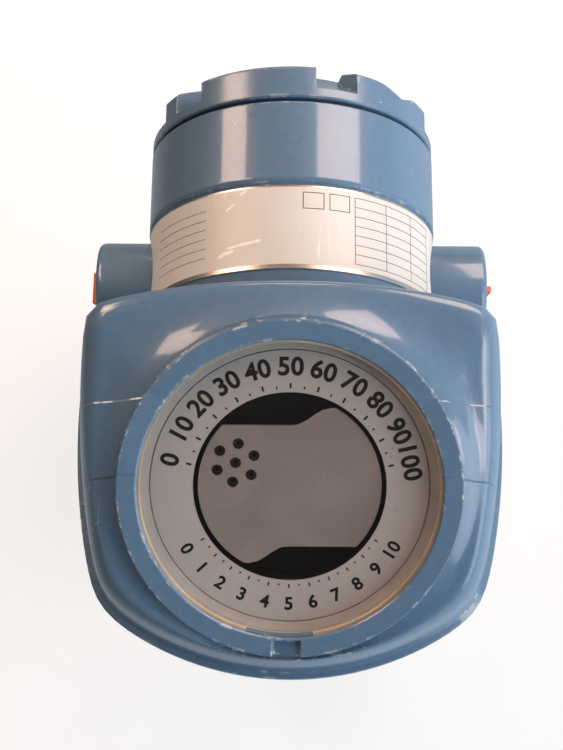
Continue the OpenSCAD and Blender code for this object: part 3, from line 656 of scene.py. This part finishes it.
def smoothing():
    """Joins the faces' seams, and shades smooth up to an angle."""
    tree = bpy.data.node_groups.new("smooth_faces", "GeometryNodeTree")
    for side in ("INPUT", "OUTPUT"):
        tree.interface.new_socket("Geometry", in_out=side, socket_type="NodeSocketGeometry")
    add, wire = tree.nodes.new, tree.links.new
    start, end = add("NodeGroupInput"), add("NodeGroupOutput")
    merge, strip = add("GeometryNodeMergeByDistance"), add("GeometryNodeRemoveAttribute")
    faces, crease = add("GeometryNodeSetShadeSmooth"), add("GeometryNodeSetShadeSmooth")
    angle, soft = add("GeometryNodeInputMeshEdgeAngle"), add("FunctionNodeCompare")
    merge.inputs["Distance"].default_value = 0.002 * MM
    strip.inputs["Name"].default_value = "custom_normal"
    crease.domain = "EDGE"
    soft.operation = "LESS_THAN"
    soft.inputs[1].default_value = radians(28)
    wire(start.outputs[0], merge.inputs["Geometry"])
    wire(merge.outputs[0], strip.inputs["Geometry"])
    wire(strip.outputs[0], faces.inputs["Geometry"])
    wire(faces.outputs[0], crease.inputs["Geometry"])
    wire(angle.outputs["Unsigned Angle"], soft.inputs[0])
    wire(soft.outputs[0], crease.inputs["Shade Smooth"])
    wire(crease.outputs[0], end.inputs[0])
    return tree


smooth = smoothing()
for name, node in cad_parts.items():
    slot = node.data.materials[0].name.split(".")[0]
    for place in node.material_slots:
        place.material = OWN_FINISH.get(name) or FINISH[slot]
    node.modifiers.new("smooth", "NODES").node_group = smooth

# The pane's faces would lie exactly on the gasket's and the ring's, so it stands back a little
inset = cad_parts["window_glass"].modifiers.new("inset", "DISPLACE")
inset.strength, inset.mid_level = -0.03 * MM, 0


# ---------------------------------------------------------------- printed marks

INK_T = 0.03 * MM
DIAL_T = 0.5 * MM
BAND_R = BARREL_R - 0.14 * MM    # the name plate's outer face, and a little more
ink_black = ink("ink_black", (0.006, 0.005, 0.005))
dial_face = DIAL @ Matrix.Translation((0, 0, DIAL_T / 2))
dial_up = (DIAL.to_3x3() @ Vector((0, 0, 1))).normalized()


def piece(name, bm, body, material):
    mesh = bpy.data.meshes.new(name)
    bm.to_mesh(mesh)
    bm.free()
    mesh.materials.append(material)
    obj = link(bpy.data.objects.new(name, mesh))
    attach(obj, body)


def slab(bm, corners):
    """A thin closed plate; each corner gives the lower point and its outward direction."""
    low = [bm.verts.new(point) for point, _ in corners]
    high = [bm.verts.new(point + away * INK_T) for point, away in corners]
    bm.faces.new(low[::-1])
    bm.faces.new(high)
    for i in range(len(corners)):
        j = (i + 1) % len(corners)
        bm.faces.new((low[i], low[j], high[j], high[i]))


def clockwise(angle):
    return Matrix.Rotation(-radians(angle), 4, "Z")


def tick(bm, angle, r_from, r_to, width):
    half = width / 2
    corners = [(-half, r_from), (half, r_from), (half, r_to), (-half, r_to)]
    place = dial_face @ clockwise(angle)
    slab(bm, [(place @ Vector((x, r, 0)), dial_up) for x, r in corners])


def figure(bm, text, angle, r, size, outwards):
    """A number on the dial, with its top towards the rim or towards the middle."""
    curve = bpy.data.curves.new("figure", "FONT")
    curve.body, curve.size, curve.align_x, curve.align_y = text, size, "CENTER", "CENTER"
    curve.extrude, curve.offset, curve.resolution_u = INK_T / 2, 0.030 * size, 6
    curve.space_character = 1.05
    holder = bpy.data.objects.new("figure", curve)
    mesh = bpy.data.meshes.new_from_object(holder)
    place = clockwise(angle) @ Matrix.Translation((0, r, INK_T / 2))
    mesh.transform(dial_face @ place @ Matrix.Rotation(0 if outwards else pi, 4, "Z"))
    bm.from_mesh(mesh)
    bpy.data.objects.remove(holder)
    bpy.data.curves.remove(curve)
    bpy.data.meshes.remove(mesh)


FIGURE_R, TICK_R = 35.6 * MM, 29.4 * MM


def dial_scale(name, texts, first, turn, size, long_tick, short_tick, outwards=True):
    """Numbers from an angle on, with a long tick at each and a short one between two.
    A tick is its outer radius and its width, in mm."""
    bm = bmesh.new()
    for step, text in enumerate(texts):
        figure(bm, text, first + turn * step, FIGURE_R, size, outwards)
    for step in range(2 * len(texts) - 1):
        r_to, width = short_tick if step % 2 else long_tick
        tick(bm, first + turn / 2 * step, TICK_R, r_to * MM, width * MM)
    piece(name, bm, "head", ink_black)


dial_scale("dial_figures", [str(10 * i) for i in range(11)], -77, 15.4, 7.4 * MM,
           (31.0, 0.6), (30.2, 0.45))
dial_scale("dial_lower_scale", [str(10 - i) for i in range(11)], 122, 11.6, 5.4 * MM,
           (30.6, 0.45), (30.0, 0.45), outwards=False)


def strip(bm, turn_from, turn_to, y_from, y_to):
    """A thin curved bar on the name plate; turns are in degrees from the top towards +X."""
    count = max(1, round(abs(turn_to - turn_from) / 3))
    turns = [radians(turn_from + (turn_to - turn_from) * i / count) for i in range(count + 1)]
    for a, b in zip(turns, turns[1:]):
        ring = []
        for turn, y in ((a, y_from), (b, y_from), (b, y_to), (a, y_to)):
            away = Vector((sin(turn), 0, cos(turn)))
            ring.append((away * BAND_R + Vector((0, y, AXIS_Z)), away))
        slab(bm, ring)


def name_plate_rules():
    """An empty form: a ruled table at the right, lines at the left and two boxes above them."""
    table_turns, column_turns = (24, 66), (24, 38, 52, 65.8)
    line_turns, box_turns, box_sweep = (-62, -34), (4, 14), 8
    rows = 7
    low, high = BAND_LOW + 3.0 * MM, BAND_HIGH - 2.4 * MM
    row = (high - low) / rows
    bm = bmesh.new()
    for i in range(rows + 1):
        strip(bm, *table_turns, low + i * row, low + i * row + 0.16 * MM)
    for turn in column_turns:
        strip(bm, turn, turn + 0.2, low, high)
    for i in range(1, rows):
        strip(bm, *line_turns, low + i * row, low + i * row + 0.14 * MM)
    for turn in box_turns:
        end = turn + box_sweep
        strip(bm, turn, end, high - 5.2 * MM, high - 5.0 * MM)
        strip(bm, turn, end, high, high + 0.2 * MM)
        strip(bm, turn, turn + 0.25, high - 5 * MM, high)
        strip(bm, end - 0.25, end, high - 5 * MM, high)
    piece("name_plate_rules", bm, "head", ink_black)


name_plate_rules()
